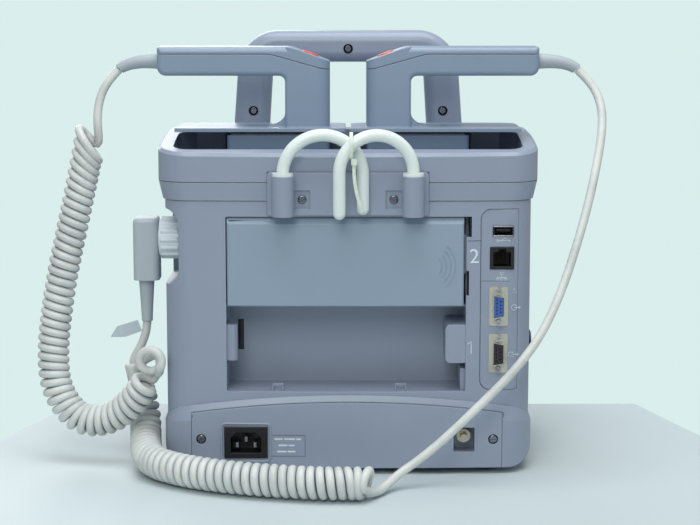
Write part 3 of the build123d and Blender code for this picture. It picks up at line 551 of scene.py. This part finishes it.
# Bay details, moulded with the rear case: two floor clips, a low stop at the floor's -X end, a latch
# slot and two notches in the side wall.
clips = []
for x in (55.2, -41.5):
    clips += [((x - 4.6, 84.0, 64.6), (x - 3.4, 96.0, 68.2)), ((x + 3.4, 84.0, 64.6), (x + 4.6, 96.0, 68.2))]
    clips.append(((x - 4.6, 83.0, 64.6), (x + 4.6, 84.6, 68.8)))
clips.append(((-92.2, 60.0, 64.6), (-88.0, 92.0, 82.5)))
blocks("bay_clips", clips, 0.5, case_abs, "housing")
# The latch slot and the two notches are thin black blocks on the walls: painted shade for the dark inside of
# each opening.
latch_slot = [((83.6, 52.6, 90.2), (88.4, 53.25, 115.0))]
blocks("latch_slot", latch_slot, 0.3, black_abs, "housing")
notches = [((-94.1, 86.2, 141.2), (-93.0, 95.0, 160.3)), ((-95.9, 80.2, 187.2), (-94.6, 94.6, 204.6))]
blocks("bay_notches", notches, 0.3, black_abs, "housing")


# Printed numerals beside the two bays and plain marks beside the sockets, in white pad-print ink
# that stands a little proud of the plastic.
def lettering(name, text, height, centre, material, body):
    """Generic numerals on the rear face."""
    data = bpy.data.curves.new(name, "FONT")
    data.body = text
    data.size = height * MM * 1.38
    data.extrude = 0.1 * MM
    data.align_x = "CENTER"
    data.align_y = "CENTER"
    word = bpy.data.objects.new(name, data)
    scene.collection.objects.link(word)
    mesh = as_mesh(word)
    drop(word)
    turn = Matrix(((-1, 0, 0), (0, 0, 1), (0, 1, 0)))
    mesh.transform(Matrix.Translation(Vector(centre) * MM) @ turn.to_4x4())
    return settle(name, mesh, material, body)


lettering("bay_numeral_2", "2", 11.5, (-98.2, rear_y(98) + 0.05, 171.5), white_ink, "housing")
numeral_one = on_rear([(-93.4, 102.6), (-96.3, 104.5), (-96.3, 99.0), (-96.3, 94.9)], -0.35)
wires("bay_numeral_1", [numeral_one], 0.55, white_ink, "housing")


def ring(x, z, radius, y, count):
    """A closed circle of points on a face."""
    turns = [math.tau * i / count for i in range(count)]
    points = [(x + radius * math.cos(a), y, z + radius * math.sin(a)) for a in turns]
    return [*points, points[0]]


face_y = 95.05
marks = [
    [(-116.5, face_y, 184.0), (-126.0, face_y, 184.0)],
    [(-118.5, face_y, 184.0), (-121.5, face_y, 186.0), (-123.5, face_y, 186.0)],
    [(-124.6, face_y, 185.2), (-126.6, face_y, 184.0), (-124.6, face_y, 182.8)],
    ring(-116.4, 184.0, 0.9, face_y, 10),
    [(-115.6, face_y, 155.2), (-123.6, face_y, 155.2)],
    [(-119.6, face_y, 155.2), (-119.6, face_y, 157.6)],
    [(-128.0, face_y, 143.2), (-131.8, face_y, 143.2), (-129.9, face_y, 146.6), (-128.0, face_y, 143.2)],
    ring(-129.6, 131.5, 2.2, face_y, 14),
    [(-129.6, face_y, 131.5), (-134.4, face_y, 131.5)],
    [(-133.2, face_y, 132.5), (-134.6, face_y, 131.5), (-133.2, face_y, 130.5)],
    [(-125.6, face_y, 96.0), (-125.6, face_y, 92.8), (-129.8, face_y, 92.8)],
    [(-125.6, face_y, 96.0), (-129.8, face_y, 96.0)],
    [(-128.0, face_y, 94.4), (-133.4, face_y, 94.4)],
    [(-132.2, face_y, 95.4), (-133.6, face_y, 94.4), (-132.2, face_y, 93.4)],
]


def outline(x0, x1, z0, z1):
    """A closed rectangle of lines on the socket column."""
    corners = ((x0, z0), (x1, z0), (x1, z1), (x0, z1), (x0, z0))
    return [(x, face_y, z) for x, z in corners]


for x in (-116.6, -119.6, -122.6):
    marks.append(outline(x - 0.9, x + 0.9, 153.0, 154.4))
marks.append(outline(-120.8, -118.4, 157.6, 159.2))


BASE_REAR = 104.0
BASE_BOW = 2644.6


def base_y(x):
    """The bowed rear face of the base at a place across it, in millimetres."""
    return BASE_REAR - (BASE_BOW - math.sqrt(BASE_BOW**2 - x**2))


def on_base(points, lift=0.02):
    """Points (across, up) laid on the bowed rear face of the base."""
    return [(x, base_y(x) + lift, z) for x, z in points]


def strip(x0, x1, z0, z1):
    """Short flat blocks that follow the base's bow."""
    count = 8
    step = (x1 - x0) / count
    made = []
    for i in range(count):
        x = x0 + step * i
        y = base_y(x + step / 2)
        made.append(((x - 0.05, y - 0.2, z0), (x + step + 0.05, y + 0.08, z1)))
    return made


marks.append(on_base([(-78.6, 26.8), (-74.8, 26.8), (-76.7, 23.0), (-78.6, 26.8)]))
wires("socket_marks", marks, 0.22, white_ink, "housing")
plate = [(60.4, 31.4), (47.0, 31.4), (33.6, 31.4), (33.6, 14.6), (47.0, 14.6), (60.4, 14.6), (60.4, 31.4)]
wires("rating_frame", [on_base(plate)], 0.18, seam_dark, "housing")
bars = []
bar_rows = (
    (27.6, ((37.0, 40.5), (41.5, 50.0), (51.2, 57.6))),
    (22.6, ((42.0, 46.6), (47.6, 54.4))),
    (17.6, ((41.4, 47.4), (48.4, 55.4))),
)
for z, runs in bar_rows:
    for x0, x1 in runs:
        bars += strip(x0, x1, z, z + 1.3)
blocks("rating_bars", bars, 0.05, white_ink, "housing")
corner = 3.0
inlet_frame = []
for cx, cz, first in ((96.3, 37.5, 0), (63.9, 37.5, 90), (63.9, 13.4, 180), (96.3, 13.4, 270)):
    for k in range(5):
        a = math.radians(first + 22.5 * k)
        inlet_frame.append((cx + corner * math.cos(a), cz + corner * math.sin(a)))
inlet_frame.append(inlet_frame[0])
wires("inlet_frame", [on_base(inlet_frame, 0.1)], 1.0, case_abs, "housing")

# Carry handle. Two moulded ABS halves screwed together, front to rear; each screw sits in a recess,
# lined with a thin black ring of painted shade, as the two screws of the mains panel are.
dress(case_abs, "handle_rear_half", "handle_front_half")


def metal_finish(name, colour, roughness, scratch):
    """Plated or polished metal with fine scratches across it."""
    material, tree, shader, place = start_material(name)
    lines = add_node(tree, "ShaderNodeTexNoise", {"Vector": place, "Scale": scratch, "Detail": 4.0})
    base = linear(colour)
    dull = tuple(0.7 * c for c in base[:3]) + (1.0,)
    tone = add_node(
        tree, "ShaderNodeMix", {0: lines.outputs["Fac"], 6: dull, 7: base}, data_type="RGBA"
    )
    tree.links.new(tone.outputs[2], shader.inputs["Base Color"])
    shine = add_node(
        tree,
        "ShaderNodeMapRange",
        {"Value": lines.outputs["Fac"], 1: 0.3, 2: 0.7, 3: roughness - 0.08, 4: roughness + 0.1},
    )
    tree.links.new(shine.outputs["Result"], shader.inputs["Roughness"])
    bump = add_node(
        tree, "ShaderNodeBump", {"Height": lines.outputs["Fac"], "Strength": 0.1, "Distance": 0.05 * MM}
    )
    tree.links.new(bump.outputs["Normal"], shader.inputs["Normal"])
    shader.inputs["Metallic"].default_value = 1.0
    return material


nickel = metal_finish("nickel_plated_steel", "c9c9cc", 0.28, 900.0)
brass = metal_finish("nickelled_brass_stud", "bdb3a2", 0.30, 900.0)
stainless = metal_finish("brushed_stainless_plate", "b6bac0", 0.30, 500.0)
dark_zinc = metal_finish("black_zinc_screw", "878b97", 0.26, 900.0)
dress(dark_zinc, "case_screws")
dress(nickel, "jackscrews", "mains_inlet_pins")
dress(brass, "ground_stud")


def screw_recess_shade_rings(name, places, inner, outer, depth, material, body):
    """Thin rings round screws that face the rear, set in the screw recesses as painted shade."""
    bm = bmesh.new()
    crown = depth + 0.15
    profile = [
        (inner, 0.0), (inner, depth), (inner + 0.3, crown),
        (outer - 0.3, crown), (outer, depth), (outer, 0.0),
    ]
    count = 32
    for x, y, z in places:
        rings = []
        for i in range(count):
            a = math.tau * i / count
            spots = [Vector((x + r * math.cos(a), y + h, z + r * math.sin(a))) for r, h in profile]
            rings.append([bm.verts.new(spot * MM) for spot in spots])
        for i in range(count):
            here, there = rings[i], rings[(i + 1) % count]
            for k in range(len(profile)):
                m = (k + 1) % len(profile)
                bm.faces.new((here[k], here[m], there[m], there[k]))
    bmesh.ops.recalc_face_normals(bm, faces=bm.faces)
    return settle(name, finish_mesh(name, bm), material, body)


handle_places = [(78.7, -32.0, 276.3), (-78.7, -32.0, 276.3), (0.0, -32.0, 327.6)]
screw_recess_shade_rings("handle_washers", handle_places, 3.45, 3.98, 4.1, black_abs, "housing")
mains_places = [(115.2, 99.6, 27.8), (-113.9, 99.6, 27.8)]
screw_recess_shade_rings("mains_washers", mains_places, 3.45, 3.88, 1.6, black_abs, "housing")

# Bed-rail hooks. White vinyl-coated steel rods that swing in flanged bushes, with a bracket screwed
# to the case and a clear nylon tie left on from packing.
dress(case_abs, "hook_bracket")
coated = moulded_finish("white_vinyl_coated_rod", "e3edea", 0.33, grain=1.6, relief=0.05, edge="eef4f2")
dress(coated, "hook_left", "hook_right", "hook_bushes")
tie_nylon, tree, shader, place = start_material("natural_nylon_tie")
ratchet = add_node(tree, "ShaderNodeTexWave", {"Vector": place, "Scale": 260.0}, bands_direction="Z")
bump = add_node(
    tree, "ShaderNodeBump", {"Height": ratchet.outputs["Fac"], "Strength": 0.35, "Distance": 0.2 * MM}
)
tree.links.new(bump.outputs["Normal"], shader.inputs["Normal"])
cloud = add_node(tree, "ShaderNodeTexNoise", {"Vector": place, "Scale": 300.0})
tone = add_node(
    tree,
    "ShaderNodeMix",
    {0: cloud.outputs["Fac"], 6: linear("ccd9cc"), 7: linear("e6efe0")},
    data_type="RGBA",
)
tree.links.new(tone.outputs[2], shader.inputs["Base Color"])
shader.inputs["Roughness"].default_value = 0.3
shader.inputs["Subsurface Weight"].default_value = 0.4
shader.inputs["Subsurface Radius"].default_value = (0.002, 0.002, 0.002)
dress(tie_nylon, "cable_tie")

# Upper battery. A smooth moulded pack with raised grip arcs at the end where a thumb draws it out.
battery_abs = moulded_finish("satin_battery_abs", "90a2b5", 0.34, grain=1.4, relief=0.06)
dress(battery_abs, "battery_case")
arcs = []
for i, radius in enumerate((7.0, 10.5, 14.0, 17.5)):
    points = []
    spread = math.radians(46.0 + 2.0 * i)
    for k in range(15):
        a = -spread + 2 * spread * k / 14
        x = -66.0 - radius * math.cos(a)
        points.append((x, rear_y(x) + 0.05, 164.5 + radius * math.sin(a) * 1.15))
    arcs.append(points)
wires("battery_grip_arcs", arcs, 0.42, battery_abs, "battery")
cell_sleeve = matt_finish("shrink_sleeve_cells", "2f6f57", 0.35)
dress(cell_sleeve, "battery_cells")

# Socket column. Plated shells, moulded inserts, and a black network jack with gilt contacts.
dress(black_abs, "data_ports", "mains_inlet")
shell_tin = metal_finish("tin_plated_shell", "e0dccd", 0.34, 700.0)
dress(shell_tin, "dsub_shells")
blue_insert = moulded_finish("blue_contact_insert", "3a60a8", 0.35, edge="5577cc")
black_insert = moulded_finish("maroon_black_insert", "2a2230", 0.4, edge="443a4c")
dress(blue_insert, "dsub_inserts")
inserts = nodes["dsub_inserts"].data
DSUB_SPLIT = 0.114
inserts.materials.append(black_insert)
for polygon in inserts.polygons:
    polygon.material_index = 1 if polygon.center.z < DSUB_SPLIT else 0
usb_lips = [((-128.2, 94.9, 194.9), (-112.8, 95.9, 195.7)), ((-128.2, 94.9, 187.5), (-112.8, 95.9, 188.3))]
blocks("usb_shell", usb_lips, 0.2, nickel, "housing")


def repeat_tree():
    """Geometry nodes that set one part on every point, turned by a step from point to point."""
    tree = bpy.data.node_groups.new("repeat_part", "GeometryNodeTree")
    names = {}
    for label, kind in (
        ("Places", "Geometry"), ("Part", "Object"), ("Turn step", "Vector"), ("Size", "Float"),
        ("Finish", "Material"),
    ):
        socket = tree.interface.new_socket(label, in_out="INPUT", socket_type="NodeSocket" + kind)
        names[label] = socket.identifier
    tree.interface.new_socket("Geometry", in_out="OUTPUT", socket_type="NodeSocketGeometry")
    given = add_node(tree, "NodeGroupInput").outputs
    part = add_node(tree, "GeometryNodeObjectInfo", {"Object": given["Part"]})
    index = add_node(tree, "GeometryNodeInputIndex")
    turn = add_node(
        tree, "ShaderNodeVectorMath", {0: given["Turn step"], "Scale": index.outputs["Index"]},
        operation="SCALE",
    )
    placed = add_node(
        tree,
        "GeometryNodeInstanceOnPoints",
        {
            "Points": given["Places"],
            "Instance": part.outputs["Geometry"],
            "Rotation": turn.outputs["Vector"],
            "Scale": given["Size"],
        },
    )
    solid = add_node(tree, "GeometryNodeRealizeInstances", {"Geometry": placed.outputs["Instances"]})
    dressed = add_node(
        tree, "GeometryNodeSetMaterial", {"Geometry": solid.outputs["Geometry"], "Material": given["Finish"]}
    )
    add_node(tree, "NodeGroupOutput", {"Geometry": dressed.outputs["Geometry"]})
    return tree, names


repeater, repeater_inputs = repeat_tree()


def repeated(name, part, places, material, body, turn=(0.0, 0.0, 0.0)):
    """Copies of a part, drawn round the origin, at places in millimetres, as one piece."""
    points = bpy.data.meshes.new(name)
    points.from_pydata([Vector(place) * MM for place in places], [], [])
    holder = bpy.data.objects.new(name + "_places", points)
    master = bpy.data.objects.new(name + "_part", part)
    scene.collection.objects.link(holder)
    scene.collection.objects.link(master)
    modifier = holder.modifiers.new("repeat", "NODES")
    modifier.node_group = repeater
    modifier[repeater_inputs["Part"]] = master
    modifier[repeater_inputs["Turn step"]] = turn
    modifier[repeater_inputs["Size"]] = 1.0
    modifier[repeater_inputs["Finish"]] = material
    mesh = as_mesh(holder)
    drop(holder)
    drop(master)
    for polygon in mesh.polygons:
        polygon.material_index = 0
    return settle(name, mesh, material, body)


def block_part(size, radius):
    """A rounded block round the origin, in millimetres."""
    bm = bmesh.new()
    add_block(bm, [-s / 2 for s in size], [s / 2 for s in size], radius)
    return finish_mesh("part", bm)


gold = metal_finish("gold_flash_contacts", "4a4030", 0.3, 900.0)
contact_places = [(-123.4 + 1.02 * i, 86.5, 170.0) for i in range(8)]
contact = block_part((0.3, 6.0, 8.0), 0.1)
repeated("network_contacts", contact, contact_places, gold, "housing")

# Blank identification flag. A stiff laminated label, a quarter of a millimetre thick, that stands out
# from the trunk cord under the plug.
flag_outline = [(166.4, 103.4), (170.0, 112.4), (187.0, 106.8), (192.6, 97.8), (180.6, 98.2)]
bm = bmesh.new()
flag_rings = []
for lift in (0.0, 0.25):
    flag_rings.append(
        [bm.verts.new(Vector((x, 43.2 + lift - 0.1 * (x - 166.0), z)) * MM) for x, z in flag_outline]
    )
bm.faces.new(flag_rings[0])
bm.faces.new(list(reversed(flag_rings[1])))
for i in range(len(flag_outline)):
    j = (i + 1) % len(flag_outline)
    bm.faces.new((flag_rings[0][j], flag_rings[0][i], flag_rings[1][i], flag_rings[1][j]))
bmesh.ops.recalc_face_normals(bm, faces=bm.faces)
flag_paper = matt_finish("laminated_flag_label", "c8d4dc", 0.45)
settle("cord_flag", finish_mesh("cord_flag", bm), flag_paper, "housing")

# Therapy connection. A grey socket and plug with a pale ribbed ring that turns to lock them.
ring_abs = moulded_finish("pale_grey_lock_ring", "e2edf3", 0.36, grain=1.2, edge="dfe8ee")
plug_abs = moulded_finish("warm_grey_plug", "b4bec6", 0.40, grain=1.2, edge="c3c9ce")
dress(ring_abs, "therapy_lock_ring")
dress(plug_abs, "therapy_plug", "plug_relief")
dress(case_abs, "therapy_socket")
dress(jacket, "cord_split")

# Paddles. Two shells meet at a seam round the grip; an orange discharge button sits on the thumb
# slope; the block below carries a stainless electrode.
paddle_abs = moulded_finish("satin_paddle_abs", "8798ae", 0.33, grain=1.6, relief=0.05)
block_abs = moulded_finish("dark_blue_electrode_block", "6b7f9a", 0.4)
button_red = moulded_finish("orange_red_button", "d8472f", 0.35, edge="ee7a60")
relief_grey = moulded_finish("grey_relief_elastomer", "a9b3ba", 0.5, grain=1.4, edge="c6ced2")
for side in ("left", "right"):
    dress(paddle_abs, f"paddle_{side}_lower_shell", f"paddle_{side}_upper_shell")
    dress(block_abs, f"paddle_{side}_electrode_block")
    dress(stainless, f"paddle_{side}_electrode")
    dress(button_red, f"paddle_{side}_button")
    dress(relief_grey, f"paddle_{side}_relief")

# Front panel. A dark window over the display, a printed overlay with domed keys, the mode knob and
# the shock key.
glass, tree, shader, place = start_material("hard_coated_acrylic_window")
haze = add_node(tree, "ShaderNodeTexNoise", {"Vector": place, "Scale": 30.0, "Detail": 5.0})
tone = add_node(
    tree,
    "ShaderNodeMix",
    {0: haze.outputs["Fac"], 6: linear("0b0e12"), 7: linear("14181e")},
    data_type="RGBA",
)
tree.links.new(tone.outputs[2], shader.inputs["Base Color"])
shine = add_node(
    tree, "ShaderNodeMapRange", {"Value": haze.outputs["Fac"], 1: 0.3, 2: 0.7, 3: 0.03, 4: 0.12}
)
tree.links.new(shine.outputs["Result"], shader.inputs["Roughness"])
dress(glass, "display_window", "lcd_module")
overlay_ink = matt_finish("printed_polyester_overlay", "55637a", 0.5)
dress(overlay_ink, "keypad_overlay")
knob_abs = moulded_finish("mid_grey_knob", "4b5566", 0.4, edge="7d889a")
dress(knob_abs, "mode_knob")
dress(button_red, "shock_key")
dress(black_abs, "patient_sockets")
key_grey = moulded_finish("pale_domed_key", "c3cbd6", 0.4, edge="e2e8ef")
soft_keys = [(-84.0 + 28.5 * i, -110.4, 75.0) for i in range(5)]
repeated("soft_keys", block_part((20.0, 1.6, 9.0), 0.75), soft_keys, key_grey, "housing")
menu_keys = [(66.0 + 15.0 * i, -110.4, z) for z in (132.0, 120.0) for i in range(5)]
repeated("menu_keys", block_part((10.5, 1.5, 7.0), 0.7), menu_keys, key_grey, "housing")
PRINT_Y = -109.95
KNOB_X = 96.0
KNOB_Z = 166.0
TICK_RADIUS = 28.0
tick_places = []
for i in range(11):
    a = math.radians(210 - 24 * i)
    tick_places.append((KNOB_X + TICK_RADIUS * math.cos(a), PRINT_Y, KNOB_Z + TICK_RADIUS * math.sin(a)))
tick_part = block_part((3.4, 0.3, 0.9), 0.1)
tick_part.transform(Matrix.Rotation(math.radians(-210.0), 4, "Y"))
repeated(
    "knob_ticks", tick_part, tick_places, white_ink, "housing",
    turn=(0.0, math.radians(24.0), 0.0),
)
pointer = [((95.3, -126.9, 168.0), (96.7, -126.1, 180.0))]
blocks("knob_pointer", pointer, 0.25, white_ink, "mode_knob")
bolt = [(97.6, 106.0), (92.6, 99.4), (96.2, 99.4), (94.2, 94.0), (99.6, 101.0), (95.9, 101.0), (97.6, 106.0)]
wires("shock_mark", [[(x, -114.2, z) for x, z in bolt]], 0.4, white_ink, "shock_key")
speaker = [(-92.0 + 4.2 * i, -112.9, 32.0) for i in range(12)]
repeated("speaker_slots", block_part((1.7, 0.7, 18.0), 0.3), speaker, seam_dark, "housing")
lamp_green = matt_finish("green_lamp_lens", "3fa56a", 0.25)
lamps = [(66.0 + 9.0 * i, -110.0, 79.5) for i in range(3)]
repeated("status_lamps", block_part((4.0, 1.0, 2.0), 0.45), lamps, lamp_green, "housing")
border = [(-99.6, 88.0), (44.6, 88.0), (44.6, 198.0), (-99.6, 198.0), (-99.6, 88.0)]
wires("display_border", [[(x, PRINT_Y, z) for x, z in border]], 0.35, seam_dark, "housing")

# Recorder door and patient sockets on the -X side. Moulded ribs for the thumb, and round sockets
# with a coloured ring each and plated pins.
door_ribs = [(-145.7, -66.0, 176.0 - 4.0 * i) for i in range(6)]
repeated("door_ribs", block_part((0.9, 30.0, 1.6), 0.4), door_ribs, case_abs, "printer_door")
SOCKET_PLACES = (-6.0, 20.0, 46.0)
SOCKET_Z = 96.0
RING_RADIUS = 7.6
PIN_RADIUS = 3.2
RING_POINTS = 28
rings = []
for y in SOCKET_PLACES:
    turns = [math.tau * i / RING_POINTS for i in range(RING_POINTS)]
    loop = [(-146.5, y + RING_RADIUS * math.cos(a), SOCKET_Z + RING_RADIUS * math.sin(a)) for a in turns]
    rings.append([*loop, loop[0]])
wires("patient_socket_rings", rings, 0.8, blue_insert, "housing")
pins = []
for y in SOCKET_PLACES:
    for k in range(5):
        a = math.radians(72 * k)
        pins.append((-144.3, y + PIN_RADIUS * math.cos(a), SOCKET_Z + PIN_RADIUS * math.sin(a)))
repeated("patient_socket_pins", block_part((2.4, 1.0, 1.0), 0.45), pins, nickel, "housing")

# Ledges in the tray's two ends. Small blocks with rounded edges, moulded in one with the tray, in
# the same ABS as the case.
ledges = [((100.5, 4.6, 226.0), (121.0, 10.5, 238.0)), ((-121.0, 4.6, 226.0), (-100.5, 10.5, 238.0))]
blocks("tray_ledges", ledges, 1.5, case_abs, "housing")

# Inside, and the feet. A solder-masked circuit board, a power module and a capacitor in drawn
# aluminium cans, and moulded rubber feet below.
board_green = matt_finish("solder_masked_board", "1f5a3c", 0.35)
dress(board_green, "main_board")
aluminium = metal_finish("deep_drawn_aluminium", "c4c8cc", 0.35, 300.0)
dress(aluminium, "power_module", "capacitor")
rubber = matt_finish("black_rubber_foot", "23252a", 0.8)
dress(rubber, "feet")
